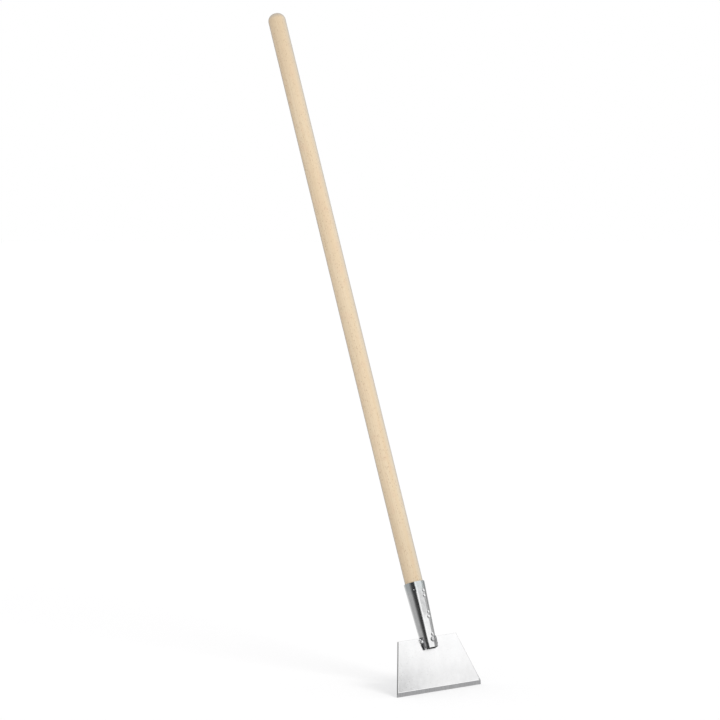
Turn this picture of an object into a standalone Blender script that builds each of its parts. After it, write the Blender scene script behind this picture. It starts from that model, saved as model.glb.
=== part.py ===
"""Push scraper: a flat trapezoid steel blade welded into the slit lower end of a rolled,
tapered steel socket, which is nailed to a turned beech handle.

Frame: metres, +Z up along the handle, X along the cutting edge, the bevelled front face
towards -Y. The origin is on the handle's axis, level with the cutting edge.
Azimuths are measured about +Z from the front centre line (-Y), positive towards +X.
"""

import math

import bmesh
import bpy
from mathutils import Matrix, Vector

MM = 0.001

# Handle
HANDLE_DIAMETER = 33 * MM
HANDLE_LENGTH = 1200 * MM
HANDLE_FOOT_Z = 100 * MM
DOME_HEIGHT = 16 * MM

# Blade
EDGE_WIDTH = 200 * MM
BLADE_TOP_WIDTH = 138 * MM
BLADE_HEIGHT = 98 * MM
BLADE_THICKNESS = 4 * MM
BEVEL_HEIGHT = 7 * MM
EDGE_LAND = 0.4 * MM

# Socket
SOCKET_FOOT_Z = 77 * MM
SOCKET_MOUTH_Z = 197 * MM
SOCKET_FOOT_DIAMETER = 27.6 * MM
SOCKET_MOUTH_DIAMETER = 37.6 * MM
SOCKET_WALL = 2 * MM
SEAM_WIDTH = 0.6 * MM
SEAM_AZIMUTH = math.radians(9)

# Seam tacks, each with its centre's height and its azimuth: they lie a little off the seam.
TACKS = {
    "seam_tack_top": (174 * MM, math.radians(7.5)),
    "seam_tack_middle": (134.5 * MM, math.radians(8)),
    "seam_tack_bottom": (94.7 * MM, math.radians(3.5)),
}
TACK_LENGTH = 15.6 * MM
TACK_WIDTH = 6.2 * MM
TACK_RISE = 1.9 * MM
TACK_WAIST_DEPTH = 0.4
TACK_WAIST_LENGTH = 2 * MM
RIM_THICKNESS = 0.2 * MM

# Fillet welds at the socket's foot: the sides in X and Y that each lies on, its leg along the
# blade, and how far it runs on below the foot.
FILLETS = {
    "fillet_weld_front_left": (-1, -1, 7.5 * MM, 2 * MM),
    "fillet_weld_front_right": (1, -1, 5 * MM, -0.5 * MM),
    "fillet_weld_rear_left": (-1, 1, 5 * MM, 1 * MM),
    "fillet_weld_rear_right": (1, 1, 5 * MM, 1 * MM),
}
FILLET_TUBE_LEG = 5 * MM
FILLET_BULGE = 0.8 * MM
FILLET_END_SHARE = 0.6
RIPPLE_COUNT = 5
RIPPLE_DEPTH = 0.07

# Nail
NAIL_Z = 183 * MM
NAIL_AZIMUTH = math.radians(-51.5)
NAIL_SHANK_DIAMETER = 2.4 * MM
NAIL_LENGTH = 18 * MM
NAIL_HEAD_DIAMETER = 3.8 * MM
NAIL_HEAD_RISE = 0.9 * MM
NAIL_POINT = 3 * MM

# Clearance left between two pieces that touch on the real tool
GAP = 0.3 * MM

ROUND_STEPS = 64
SHARP_ANGLE = math.radians(30)


def socket_radius(z):
    """Outer radius of the socket's cone at height z."""
    share = (z - SOCKET_FOOT_Z) / (SOCKET_MOUTH_Z - SOCKET_FOOT_Z)
    return (SOCKET_FOOT_DIAMETER * (1 - share) + SOCKET_MOUTH_DIAMETER * share) / 2


def direction(azimuth):
    """Unit vector pointing out from the handle's axis at an azimuth."""
    return Vector((math.sin(azimuth), -math.cos(azimuth), 0))


def principled(name, colour, roughness, metallic):
    """A material with one Principled BSDF."""
    material = bpy.data.materials.new(name)
    material.use_nodes = True
    shader = material.node_tree.nodes["Principled BSDF"]
    shader.inputs["Base Color"].default_value = (*colour, 1)
    shader.inputs["Roughness"].default_value = roughness
    shader.inputs["Metallic"].default_value = metallic
    material.diffuse_color = (*colour, 1)
    return material


def add_object(name, bm, material):
    """Turns a bmesh into a shaded object with one material."""
    bmesh.ops.recalc_face_normals(bm, faces=bm.faces)
    mesh = bpy.data.meshes.new(name)
    bm.to_mesh(mesh)
    bm.free()
    mesh.shade_smooth()
    mesh.set_sharp_from_angle(angle=SHARP_ANGLE)
    mesh.materials.append(material)
    piece = bpy.data.objects.new(name, mesh)
    bpy.context.scene.collection.objects.link(piece)
    return piece


def loft(bm, rings, closed_ends=True):
    """Joins rings of points, each a closed outline, into one surface with flat ends."""
    loops = [[bm.verts.new(point) for point in ring] for ring in rings]
    count = len(loops[0])
    for low, high in zip(loops, loops[1:]):
        for i in range(count):
            j = (i + 1) % count
            bm.faces.new((low[i], low[j], high[j], high[i]))
    if closed_ends:
        bm.faces.new(loops[0])
        bm.faces.new(loops[-1])
    return loops


def turned(bm, profile, steps=ROUND_STEPS):
    """Turns (radius, height) points about Z. The first and last points lie on the axis."""
    rings = [
        [
            Vector((r * math.cos(a), r * math.sin(a), z))
            for a in (2 * math.pi * i / steps for i in range(steps))
        ]
        for r, z in profile[1:-1]
    ]
    loops = loft(bm, rings, closed_ends=False)
    for loop, (_, z) in ((loops[0], profile[0]), (loops[-1], profile[-1])):
        pole = bm.verts.new((0, 0, z))
        for i in range(steps):
            bm.faces.new((loop[i], loop[(i + 1) % steps], pole))


def cutter(name, bm):
    """An object that only cuts others."""
    tool = add_object(name, bm, bpy.data.materials["cutter"])
    tool.hide_render = True
    tool.display_type = "WIRE"
    return tool


def cut(piece, tool):
    """Takes the tool's volume out of a piece."""
    modifier = piece.modifiers.new("cut_" + tool.name, "BOOLEAN")
    modifier.operation = "DIFFERENCE"
    modifier.solver = "EXACT"
    modifier.object = tool


def make_handle(wood):
    """A straight round shaft with a domed top and a foot turned down to fill the socket."""
    radius = HANDLE_DIAMETER / 2
    top = HANDLE_FOOT_Z + HANDLE_LENGTH
    foot_radius = socket_radius(HANDLE_FOOT_Z) - SOCKET_WALL - GAP
    dome_steps = 10
    dome = [
        (
            radius * math.cos(math.pi / 2 * i / dome_steps),
            top - DOME_HEIGHT + DOME_HEIGHT * math.sin(math.pi / 2 * i / dome_steps),
        )
        for i in range(dome_steps)
    ]
    profile = [
        (0, HANDLE_FOOT_Z),
        (foot_radius, HANDLE_FOOT_Z),
        (radius, SOCKET_MOUTH_Z),
        *dome,
        (0, top),
    ]
    bm = bmesh.new()
    turned(bm, profile)
    return add_object("handle", bm, wood)


def make_socket(steel):
    """A rolled cone: a C-shaped section, open along its seam, lofted from foot to mouth."""
    steps = ROUND_STEPS

    def section(z):
        outer = socket_radius(z)
        inner = outer - SOCKET_WALL
        half_gap = SEAM_WIDTH / 2 / outer
        azimuths = [
            SEAM_AZIMUTH + half_gap + (2 * math.pi - 2 * half_gap) * i / steps
            for i in range(steps + 1)
        ]
        lift = Vector((0, 0, z))
        outside = [direction(a) * outer + lift for a in azimuths]
        inside = [direction(a) * inner + lift for a in reversed(azimuths)]
        return outside + inside

    bm = bmesh.new()
    loft(bm, [section(SOCKET_FOOT_Z), section(SOCKET_MOUTH_Z)])
    return add_object("socket", bm, steel)


def make_slit_cutter():
    """The slot through both sides of the socket's foot that takes the blade."""
    half_x = SOCKET_MOUTH_DIAMETER
    half_y = BLADE_THICKNESS / 2 + GAP
    low = SOCKET_FOOT_Z - SOCKET_WALL
    high = BLADE_HEIGHT + GAP
    corners = ((-half_x, -half_y), (half_x, -half_y), (half_x, half_y), (-half_x, half_y))
    bm = bmesh.new()
    loft(bm, [[Vector((x, y, z)) for x, y in corners] for z in (low, high)])
    return cutter("slit_cutter", bm)


def make_blade(steel):
    """A trapezoid plate, wider at the bottom, ground on its front to a thin edge at its rear."""
    half_thick = BLADE_THICKNESS / 2
    section = (
        (-half_thick, BLADE_HEIGHT),
        (-half_thick, BEVEL_HEIGHT),
        (half_thick - EDGE_LAND, 0),
        (half_thick, 0),
        (half_thick, BLADE_HEIGHT),
    )

    def half_width(z):
        return (EDGE_WIDTH + (BLADE_TOP_WIDTH - EDGE_WIDTH) * z / BLADE_HEIGHT) / 2

    sides = [[Vector((side * half_width(z), y, z)) for y, z in section] for side in (-1, 1)]
    bm = bmesh.new()
    loft(bm, sides)
    return add_object("blade", bm, steel)


def make_seam_tack(name, centre_z, centre_azimuth, steel):
    """A short bead of two round lobes lying over the seam, thin at its rim."""
    rings = 6
    steps = 28
    cone_height = SOCKET_MOUTH_Z - SOCKET_FOOT_Z
    cone_slope = (SOCKET_MOUTH_DIAMETER - SOCKET_FOOT_DIAMETER) / 2 / cone_height

    def narrowing(along):
        return 1 - TACK_WAIST_DEPTH * math.exp(-((along / TACK_WAIST_LENGTH) ** 2))

    def surface_point(along, across, rise):
        z = centre_z + along
        radius = socket_radius(z) + GAP
        azimuth = centre_azimuth + across / radius
        return direction(azimuth) * (radius + rise) + Vector((0, 0, z - rise * cone_slope))

    def layer(share):
        points = []
        for i in range(steps):
            angle = 2 * math.pi * i / steps
            along = share * math.cos(angle) * TACK_LENGTH / 2
            across = share * math.sin(angle) * TACK_WIDTH / 2 * narrowing(along)
            points.append((along, across))
        return points

    def rise_at(along, share):
        crown = math.sqrt(max(0, 1 - share * share))
        return RIM_THICKNESS + TACK_RISE * crown * narrowing(along)

    shares = [(i + 1) / rings for i in range(rings)]
    bottom = [[surface_point(al, ac, 0) for al, ac in layer(s)] for s in shares]
    top = [
        [surface_point(al, ac, rise_at(al, s)) for al, ac in layer(s)] for s in reversed(shares)
    ]
    bm = bmesh.new()
    loops = loft(bm, bottom + top, closed_ends=False)
    for loop, rise in ((loops[0], 0), (loops[-1], rise_at(0, 0))):
        pole = bm.verts.new(surface_point(0, 0, rise))
        for i in range(steps):
            bm.faces.new((loop[i], loop[(i + 1) % steps], pole))
    return add_object(name, bm, steel)


def make_fillet(name, side_x, side_y, blade_leg, overrun, steel):
    """A weld bead in the corner between the socket's foot and a face of the blade."""
    rings = 15
    arc_steps = 4
    crown_steps = 6
    low = SOCKET_FOOT_Z - overrun
    high = BLADE_HEIGHT - GAP
    face_y = BLADE_THICKNESS / 2 + GAP

    def section(share):
        z = low + (high - low) * share
        radius = socket_radius(max(z, SOCKET_FOOT_Z)) + GAP
        ripple = 1 + RIPPLE_DEPTH * math.sin(share * RIPPLE_COUNT * 2 * math.pi)
        fullness = math.sqrt(math.sin(math.pi * min(share, 1 - share)))
        ends = FILLET_END_SHARE + (1 - FILLET_END_SHARE) * fullness
        swell = ripple * ends
        first = math.asin(face_y / radius)
        last = math.asin((face_y + FILLET_TUBE_LEG * swell) / radius)
        arc = [
            Vector((math.cos(a), math.sin(a))) * radius
            for a in (last + (first - last) * i / arc_steps for i in range(arc_steps + 1))
        ]
        start = Vector((arc[-1].x + blade_leg * swell, face_y))
        end = arc[0]
        crown = start.lerp(end, 0.5) + Vector((FILLET_BULGE, FILLET_BULGE))
        curve = [
            start * (1 - t) ** 2 + crown * 2 * t * (1 - t) + end * t * t
            for t in (i / crown_steps for i in range(crown_steps))
        ]
        return [Vector((side_x * p.x, side_y * p.y, z)) for p in arc + curve]

    bm = bmesh.new()
    loft(bm, [section(i / (rings - 1)) for i in range(rings)])
    return add_object(name, bm, steel)


def nail_matrix():
    """Places a nail modelled along +Z, head up, so that it points at the handle's axis."""
    out = direction(NAIL_AZIMUTH)
    turn = out.to_track_quat("Z", "Y").to_matrix().to_4x4()
    place = out * (socket_radius(NAIL_Z) + GAP) + Vector((0, 0, NAIL_Z))
    return Matrix.Translation(place) @ turn


def make_nail(steel):
    """A round nail with a low domed head, driven through the socket into the handle."""
    shank = NAIL_SHANK_DIAMETER / 2
    head = NAIL_HEAD_DIAMETER / 2
    head_steps = 5
    dome = [
        (
            head * math.cos(math.pi / 2 * i / head_steps),
            RIM_THICKNESS + NAIL_HEAD_RISE * math.sin(math.pi / 2 * i / head_steps),
        )
        for i in range(head_steps)
    ]
    profile = [
        (0, -NAIL_LENGTH),
        (shank / 4, NAIL_POINT / 4 - NAIL_LENGTH),
        (shank, NAIL_POINT - NAIL_LENGTH),
        (shank, 0),
        (head, 0),
        *dome,
        (0, RIM_THICKNESS + NAIL_HEAD_RISE),
    ]
    bm = bmesh.new()
    turned(bm, profile, steps=24)
    piece = add_object("fixing_nail", bm, steel)
    piece.matrix_world = nail_matrix()
    return piece


def make_nail_hole_cutter():
    """The hole that the nail's shank makes in the socket and the handle."""
    radius = NAIL_SHANK_DIAMETER / 2 + GAP
    depth = NAIL_LENGTH + NAIL_POINT
    profile = [(0, -depth), (radius, NAIL_POINT - depth), (radius, SOCKET_WALL), (0, SOCKET_WALL)]
    bm = bmesh.new()
    turned(bm, profile, steps=24)
    tool = cutter("nail_hole_cutter", bm)
    tool.matrix_world = nail_matrix()
    return tool


def main():
    for piece in list(bpy.data.objects):
        bpy.data.objects.remove(piece)

    beech = principled("beech", (0.72, 0.57, 0.39), 0.55, 0)
    plated = principled("plated_steel", (0.62, 0.63, 0.64), 0.28, 1)
    rolled = principled("rolled_plate", (0.78, 0.79, 0.80), 0.35, 1)
    weld = principled("weld_metal", (0.50, 0.51, 0.52), 0.35, 1)
    principled("cutter", (1, 0, 0), 0.5, 0)

    handle = make_handle(beech)
    socket = make_socket(plated)
    make_blade(rolled)
    make_nail(plated)

    cut(socket, make_slit_cutter())
    nail_hole = make_nail_hole_cutter()
    cut(socket, nail_hole)
    cut(handle, nail_hole)

    for name, (centre_z, azimuth) in TACKS.items():
        make_seam_tack(name, centre_z, azimuth, weld)
    for name, (side_x, side_y, blade_leg, overrun) in FILLETS.items():
        make_fillet(name, side_x, side_y, blade_leg, overrun, weld)


main()
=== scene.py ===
"""Looks of the push scraper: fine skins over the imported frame, procedural materials,
a plain pale floor, soft studio light and the camera.

Frame: metres, +Z up the handle, X along the cutting edge, the bevelled front face towards -Y.
Azimuths are measured about +Z from the front (-Y), positive towards +X.
"""

import math
import random

import bmesh
import bpy
import numpy as np
from mathutils import Matrix, Vector, noise


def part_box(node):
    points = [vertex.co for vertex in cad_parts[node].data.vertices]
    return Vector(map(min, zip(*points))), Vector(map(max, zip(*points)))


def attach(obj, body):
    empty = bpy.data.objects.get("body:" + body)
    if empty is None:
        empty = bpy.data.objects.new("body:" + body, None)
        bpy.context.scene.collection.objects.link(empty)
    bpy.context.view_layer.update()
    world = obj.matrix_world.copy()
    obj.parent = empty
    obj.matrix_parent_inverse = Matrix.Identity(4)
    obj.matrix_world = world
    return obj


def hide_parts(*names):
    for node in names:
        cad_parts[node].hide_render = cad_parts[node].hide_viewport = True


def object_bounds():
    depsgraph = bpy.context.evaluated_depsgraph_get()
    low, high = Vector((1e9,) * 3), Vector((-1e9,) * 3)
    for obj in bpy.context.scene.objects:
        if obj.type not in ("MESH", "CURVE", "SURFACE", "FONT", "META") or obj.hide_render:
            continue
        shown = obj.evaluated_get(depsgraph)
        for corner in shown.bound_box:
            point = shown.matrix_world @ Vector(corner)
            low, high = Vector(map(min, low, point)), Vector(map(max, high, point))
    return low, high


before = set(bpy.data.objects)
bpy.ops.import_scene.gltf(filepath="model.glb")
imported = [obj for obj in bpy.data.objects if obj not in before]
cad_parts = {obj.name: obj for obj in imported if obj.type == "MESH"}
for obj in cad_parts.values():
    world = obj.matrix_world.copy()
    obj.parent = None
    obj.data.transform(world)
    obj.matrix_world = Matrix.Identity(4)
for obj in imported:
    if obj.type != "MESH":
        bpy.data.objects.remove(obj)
cad_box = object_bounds()

MM = 0.001

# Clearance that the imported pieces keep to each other
CLEARANCE = 0.3 * MM

# Camera: where it looks, and from which side
CAMERA_AZIMUTH = math.radians(-41.04)
CAMERA_ELEVATION = math.radians(-12.12)
CAMERA_ROLL = math.radians(-13.70)
CAMERA_DISTANCE = 5.003
CAMERA_AIM_SHARE = 0.4746
CAMERA_AIM_ASIDE = 0.86 * MM
CAMERA_LENS = 137.4

# Floor
FLOOR_RADIUS = 30
FLOOR_GLOW = 0.425
FLOOR_TONE = (0.50, 0.50, 0.505, 1)

# Key light
KEY_ELEVATION = math.radians(38)
KEY_SPREAD = math.radians(24)
KEY_STRENGTH = 1.3
KEY_COLOUR = (1.0, 0.985, 0.96)

# The room as matt surfaces see it: even, a little brighter on the side away from the key light
ROOM_LEVEL = 0.95
ROOM_FILL = 0.18
FILL_AZIMUTH = CAMERA_AZIMUTH - math.radians(100)

# What metal mirrors above and below the walls, and the ray heights between which they blend
CEILING_LEVEL = 1.1
CEILING_BLEND = (0.45, 0.8)
GROUND_LEVEL = 0.48
GROUND_BLEND = (-0.35, -0.75)

# Beech: the side given a painted cool sheen, the length darkened by hands, down from the top, and
# the height from which it darkens down to the socket
COOL_SHEEN_AZIMUTH = CAMERA_AZIMUTH + math.radians(90)
HELD_LENGTH = 260 * MM
LOW_DARK_TOP = 420 * MM

# What the blade's plating darkens towards: low down and on its left, at its specks, and in the
# painted shade along its rims
BLACK = (0.02, 0.02, 0.02, 1)

# A dull patch on the socket's plating: its lower end, how ragged and soft that is, its sides and
# how softly they fade
PATCH_FOOT = 138 * MM
PATCH_RAGGED = 20 * MM
PATCH_FOOT_FADE = 16 * MM
PATCH_LEFT = CAMERA_AZIMUTH + math.radians(6)
PATCH_RIGHT = math.radians(30)
PATCH_SIDE_FADE = math.radians(9)

# Heat stains on the socket's plating: one beside the seam, and one right of it, near the weld
# there; each with its top, how softly that fades, its reach and its share of the dark tone
STAIN_RAGGED = 3 * MM
SEAM_STAIN_TOP = 130 * MM
SEAM_STAIN_FADE = 8 * MM
SEAM_STAIN_REACH = math.radians(14)
SEAM_STAIN = 0.36
WELD_STAIN_TOP = 99 * MM
WELD_STAIN_FADE = 6 * MM
WELD_STAIN_REACH = math.radians(8)
WELD_STAIN = 0.60

# The lobes of each seam tack: how far along and aside of its centre, length and width (each as a
# share of half the tack's length), rise, and how clean its metal is
TACK_LOBES = {
    "top": (
        (0.62, 0.05, 0.40, 0.38, 2.0 * MM, 1),
        (-0.56, -0.05, 0.43, 0.42, 2.1 * MM, 1),
    ),
    "middle": (
        (0.68, 0.08, 0.40, 0.38, 2.0 * MM, 1),
        (-0.40, -0.08, 0.45, 0.46, 2.6 * MM, 1),
    ),
    "bottom": (
        (0.60, 0.00, 0.50, 0.36, 2.6 * MM, 1),
        (-0.50, -0.20, 0.60, 0.56, 1.8 * MM, 0),
        (-0.48, -0.14, 0.28, 0.27, 3.0 * MM, 1),
    ),
}

# The clean lumps of a lumpy fillet: which of its ends, how far below that, shares of the bead's
# legs along the plate and the tube, how clean, and sizes along the bead, across it and outwards
FILLET_LUMPS = (
    ("top", 2.2 * MM, 0.92, 0.16, 1, (1.6 * MM, 1.7 * MM, 2.0 * MM)),
    ("top", 5.8 * MM, 0.54, 0.34, 1, (2.6 * MM, 1.5 * MM, 2.6 * MM)),
    ("foot", 0.8 * MM, 0.04, 0.45, 0.8, (1.3 * MM, 1.9 * MM, 2.2 * MM)),
)

# The socket's open seam, and its grid's columns from there round the right slit and the left one
SEAM_HALF = 0.3 * MM
FRONT_COLUMNS = 26
SLIT_COLUMNS = 6
REAR_COLUMNS = 54
LAST_COLUMNS = 30

# The room as metal mirrors it: azimuth from the camera in degrees, brightness of the wall there
STUDIO_BANDS = (
    (-180, 0.50),
    (-150, 0.78),
    (-140, 0.76),
    (-126, 0.58),
    (-112, 0.47),
    (-70, 0.46),
    (-58, 0.40),
    (-46, 0.20),
    (-34, 0.06),
    (-2, 0.02),
    (7, 1.22),
    (16, 1.20),
    (26, 1.11),
    (97, 1.10),
    (109, 0.38),
    (150, 0.40),
    (180, 0.50),
)


def direction(azimuth):
    """Unit vector pointing out from the handle's axis at an azimuth."""
    return Vector((math.sin(azimuth), -math.cos(azimuth), 0))


def cad_points(node):
    """A CAD node's vertices, one row each."""
    return np.array([v.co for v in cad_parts[node].data.vertices])


def radii(points):
    """Each point's distance from the handle's axis."""
    return np.hypot(points[:, 0], points[:, 1])


class Cone:
    """The socket's outer surface and sheet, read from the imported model."""

    def __init__(self):
        points = cad_points("socket")
        heights = points[:, 2]
        self.foot_z = heights.min()
        self.mouth_z = heights.max()
        at_foot = radii(points[heights < self.foot_z + CLEARANCE])
        at_mouth = radii(points[heights > self.mouth_z - CLEARANCE])
        self.foot_radius = at_foot.max()
        self.mouth_radius = at_mouth.max()
        self.wall = at_mouth.max() - at_mouth.min()

    def radius(self, z):
        share = (z - self.foot_z) / (self.mouth_z - self.foot_z)
        share = min(max(share, 0), 1)
        return self.foot_radius * (1 - share) + self.mouth_radius * share

    def normal(self, azimuth):
        slope = (self.mouth_radius - self.foot_radius) / (self.mouth_z - self.foot_z)
        return (direction(azimuth) - Vector((0, 0, slope))).normalized()

    def point(self, azimuth, z, lift):
        return direction(azimuth) * (self.radius(z) + lift) + Vector((0, 0, z))


def azimuth_of(point):
    """Azimuth of a point about the handle's axis."""
    return math.atan2(point[0], -point[1])


def box_centre(node):
    """Middle of a CAD node's box."""
    low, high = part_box(node)
    return (low + high) / 2


CONE = Cone()
HANDLE_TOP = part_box("handle")[1].z
SEAM_AZIMUTH = azimuth_of(box_centre("seam_tack_middle"))


# Node trees


class Nodes:
    """Builds a node tree with short calls. A value is a number, a colour or a node's output."""

    def __init__(self, tree):
        self.tree = tree
        tree.nodes.clear()

    def add(self, kind, inputs, **settings):
        node = self.tree.nodes.new(kind)
        for name, value in settings.items():
            setattr(node, name, value)
        for key, value in inputs.items():
            if isinstance(value, bpy.types.NodeSocket):
                self.tree.links.new(value, node.inputs[key])
            else:
                node.inputs[key].default_value = value
        return node

    def math(self, operation, a, b=0.0):
        return self.add("ShaderNodeMath", {0: a, 1: b}, operation=operation).outputs[0]

    def dot(self, a, b):
        return self.add("ShaderNodeVectorMath", {0: a, 1: b}, operation="DOT_PRODUCT").outputs[1]

    def coordinates(self):
        return self.add("ShaderNodeTexCoord", {}).outputs["Object"]

    def normal(self):
        return self.add("ShaderNodeNewGeometry", {}).outputs["Normal"]

    def attribute(self, name):
        return self.add("ShaderNodeAttribute", {}, attribute_name=name).outputs["Fac"]

    def parts(self, vector):
        return self.add("ShaderNodeSeparateXYZ", {0: vector}).outputs

    def stretched(self, vector, scale, turn=(0, 0, 0)):
        inputs = {"Vector": vector, "Scale": scale, "Rotation": turn}
        return self.add("ShaderNodeMapping", inputs).outputs[0]

    def noise(self, vector, scale=1, detail=2, roughness=0.5):
        inputs = {"Vector": vector, "Scale": scale, "Detail": detail, "Roughness": roughness}
        return self.add("ShaderNodeTexNoise", inputs).outputs["Fac"]

    def cells(self, vector):
        return self.add("ShaderNodeTexVoronoi", {"Vector": vector, "Scale": 1}).outputs

    def bands(self, vector, scale, distortion, detail_scale):
        inputs = {
            "Vector": vector,
            "Scale": scale,
            "Distortion": distortion,
            "Detail Scale": detail_scale,
        }
        return self.add("ShaderNodeTexWave", inputs).outputs["Fac"]

    def span(self, value, low, high, to_low=0.0, to_high=1.0, smooth=False):
        """Maps low..high onto to_low..to_high and clamps."""
        inputs = {0: value, 1: low, 2: high, 3: to_low, 4: to_high}
        kind = "SMOOTHSTEP" if smooth else "LINEAR"
        return self.add("ShaderNodeMapRange", inputs, interpolation_type=kind).outputs[0]

    def mix(self, share, a, b):
        node = self.add("ShaderNodeMix", {0: share}, data_type="RGBA")
        for key, value in ((6, a), (7, b)):
            if isinstance(value, bpy.types.NodeSocket):
                self.tree.links.new(value, node.inputs[key])
            else:
                node.inputs[key].default_value = value
        return node.outputs[2]

    def ramp(self, value, stops):
        node = self.add("ShaderNodeValToRGB", {0: value})
        elements = node.color_ramp.elements
        while len(elements) < len(stops):
            elements.new(1)
        for element, (place, level) in zip(elements, stops):
            element.position = place
            element.color = (level, level, level, 1)
        return node.outputs[0]

    def bump(self, height, distance):
        inputs = {"Height": height, "Distance": distance, "Strength": 1}
        return self.add("ShaderNodeBump", inputs).outputs[0]

    def surface(self, shader):
        self.add("ShaderNodeOutputMaterial", {"Surface": shader})

    def principled(self, colour, roughness, metallic, normal, specular=0.5):
        inputs = {
            "Base Color": colour,
            "Roughness": roughness,
            "Metallic": metallic,
            "Normal": normal,
            "Specular IOR Level": specular,
        }
        self.surface(self.add("ShaderNodeBsdfPrincipled", inputs).outputs[0])


def new_material(name):
    material = bpy.data.materials.new(name)
    material.use_nodes = True
    return material, Nodes(material.node_tree)


def beech():
    """Planed beech: long soft streaks, growth rings, fine fibres and short dark ray flecks."""
    tan = (0.640, 0.508, 0.342, 1)
    pale = (0.690, 0.570, 0.408, 1)
    golden = (0.675, 0.517, 0.348, 1)
    pink = (0.665, 0.470, 0.330, 1)
    late_wood = (0.540, 0.405, 0.262, 1)
    fibre = (0.500, 0.365, 0.232, 1)
    ray = (0.340, 0.215, 0.125, 1)
    material, n = new_material("beech")
    place = n.coordinates()
    streaks = n.noise(n.stretched(place, (130, 130, 5)), detail=3)
    broad = n.noise(n.stretched(place, (25, 25, 4)), detail=2)
    fibres = n.noise(n.stretched(place, (1500, 1500, 60)), detail=2)
    rings = n.bands(n.stretched(place, (1, 0.35, 0.02)), 130, 2.2, 12)
    blush = n.noise(n.stretched(place, (70, 70, 45)), detail=2)

    tone = n.mix(n.span(streaks, 0.3, 0.7), tan, pale)
    tone = n.mix(n.span(broad, 0.42, 0.68, 0, 0.45), tone, golden)
    tone = n.mix(n.span(blush, 0.52, 0.72, 0, 0.35), tone, pink)
    tone = n.mix(n.span(rings, 0.55, 1.0, 0, 0.25), tone, late_wood)
    tone = n.mix(n.span(fibres, 0.55, 0.75, 0, 0.25), tone, fibre)

    cell = n.cells(n.stretched(place, (620, 620, 190)))
    rare = n.parts(cell["Color"])[0]
    spindle = n.span(cell["Distance"], 0.16, 0.42, 1, 0, smooth=True)
    fleck = n.math("MULTIPLY", spindle, n.span(rare, 0.45, 0.80))
    tone = n.mix(n.math("MULTIPLY", fleck, 0.60), tone, ray)
    # Grime near the ends, plus painted shade and a painted cool sheen
    tone = grime_and_painted_light(n, tone, n.parts(place)[2])

    relief = n.math("SUBTRACT", fibres, n.math("MULTIPLY", fleck, 0.5))
    normal = n.bump(relief, 0.06 * MM)
    roughness = n.span(streaks, 0.3, 0.7, 0.50, 0.60)
    n.principled(tone, roughness, 0.0, normal, specular=0.4)
    return material


def grime_and_painted_light(n, tone, height):
    """Darkens the wood near both ends with grime, and paints light and shade: darker end grain on
    the dome, partly real and partly painted shade; painted shade on the dome, on its left and at
    the silhouettes where it is seen at a slant; and a painted cool sheen on its right-hand side."""
    handled = (0.470, 0.365, 0.245, 1)
    end_grain_and_shade = (0.440, 0.330, 0.205, 1)
    cool_sheen = (0.51, 0.565, 0.57, 1)
    painted_shade_tone = (0.33, 0.31, 0.28, 1)
    silhouette_shade = (0.40, 0.385, 0.39, 1)
    held = n.span(height, HANDLE_TOP - HELD_LENGTH, HANDLE_TOP, 0, 0.28, smooth=True)
    low = n.span(height, LOW_DARK_TOP, CONE.mouth_z, 0, 0.30, smooth=True)
    tone = n.mix(n.math("MAXIMUM", held, low), tone, handled)

    upward = n.parts(n.normal())[2]
    rightward = n.dot(n.normal(), direction(COOL_SHEEN_AZIMUTH))
    # Darker end grain on the dome: partly the wood's own end grain, partly painted shade on the
    # upward-facing top
    tone = n.mix(n.span(upward, 0.55, 0.95, 0, 0.35), tone, end_grain_and_shade)
    # Painted light: a cool sheen painted on the right-hand side, as if cool light fell there
    tone = n.mix(n.span(rightward, 0.50, 1.0, 0, 0.34), tone, cool_sheen)
    # Painted shade: a dark tone on the left-hand side and on the dome, away from the light
    on_left = n.span(rightward, -0.88, -1.0, 0, 0.38)
    on_dome = n.span(upward, 0.12, 0.58, 0, 0.56)
    tone = n.mix(n.math("MAXIMUM", on_left, on_dome), tone, painted_shade_tone)
    # Painted shade at the silhouettes, where the wood is seen at a slant
    slant = n.add("ShaderNodeLayerWeight", {"Blend": 0.5}).outputs["Facing"]
    return n.mix(n.span(slant, 0.50, 0.90, 0, 0.68), tone, silhouette_shade)


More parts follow.
